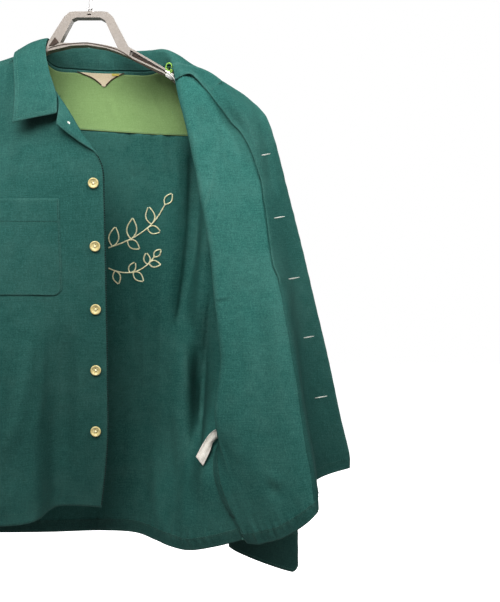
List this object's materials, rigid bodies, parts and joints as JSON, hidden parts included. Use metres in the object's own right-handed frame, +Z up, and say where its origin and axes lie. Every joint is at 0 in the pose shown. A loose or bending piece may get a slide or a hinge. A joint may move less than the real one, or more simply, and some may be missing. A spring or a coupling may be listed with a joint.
{
  "type": "long-sleeved work shirt on a hanger",
  "caption": "Dark green long-sleeved work shirt on a plastic hanger, its left front swung open, with a light green yoke lining and cream buttons.",
  "frame": {"origin": "inner top of the hanger's hook, where a rail holds it", "axes": "+Z up, the shirt's front towards -Y, +X towards the wearer's left (to the right as seen from the front)"},
  "size_m": [0.7743, 0.2059, 0.9157],
  "materials": {
    "green_cloth": "matt brushed cotton twill",
    "lining_cloth": "matt plain weave",
    "button": "satin cream plastic",
    "label_cream": "woven label, blank",
    "label_pale": "printed satin tape, blank",
    "hanger_plastic": "smooth grey-beige plastic",
    "hanger_pad": "rough dark pad",
    "chrome": "bright plated wire"
  },
  "bodies": {
    "root": {"yoke": "green_cloth", "back": "green_cloth", "front_right": "green_cloth", "front_left": "green_cloth", "facing_right": "green_cloth", "facing_left": "green_cloth", "collar": "green_cloth", "pocket_right": "green_cloth", "pocket_left": "green_cloth", "sleeve_right": "green_cloth", "sleeve_left": "green_cloth", "cuff_right": "green_cloth", "cuff_left": "green_cloth", "yoke_lining": "lining_cloth", "button_1": "button", "button_2": "button", "button_3": "button", "button_4": "button", "button_5": "button", "cuff_button_right": "button", "cuff_button_left": "button", "neck_label": "label_cream", "neck_label_tab": "label_pale", "care_label": "label_pale", "hanger_body": "hanger_plastic", "hanger_pad": "hanger_pad", "hanger_hook": "chrome"}
  },
  "joints": []
}
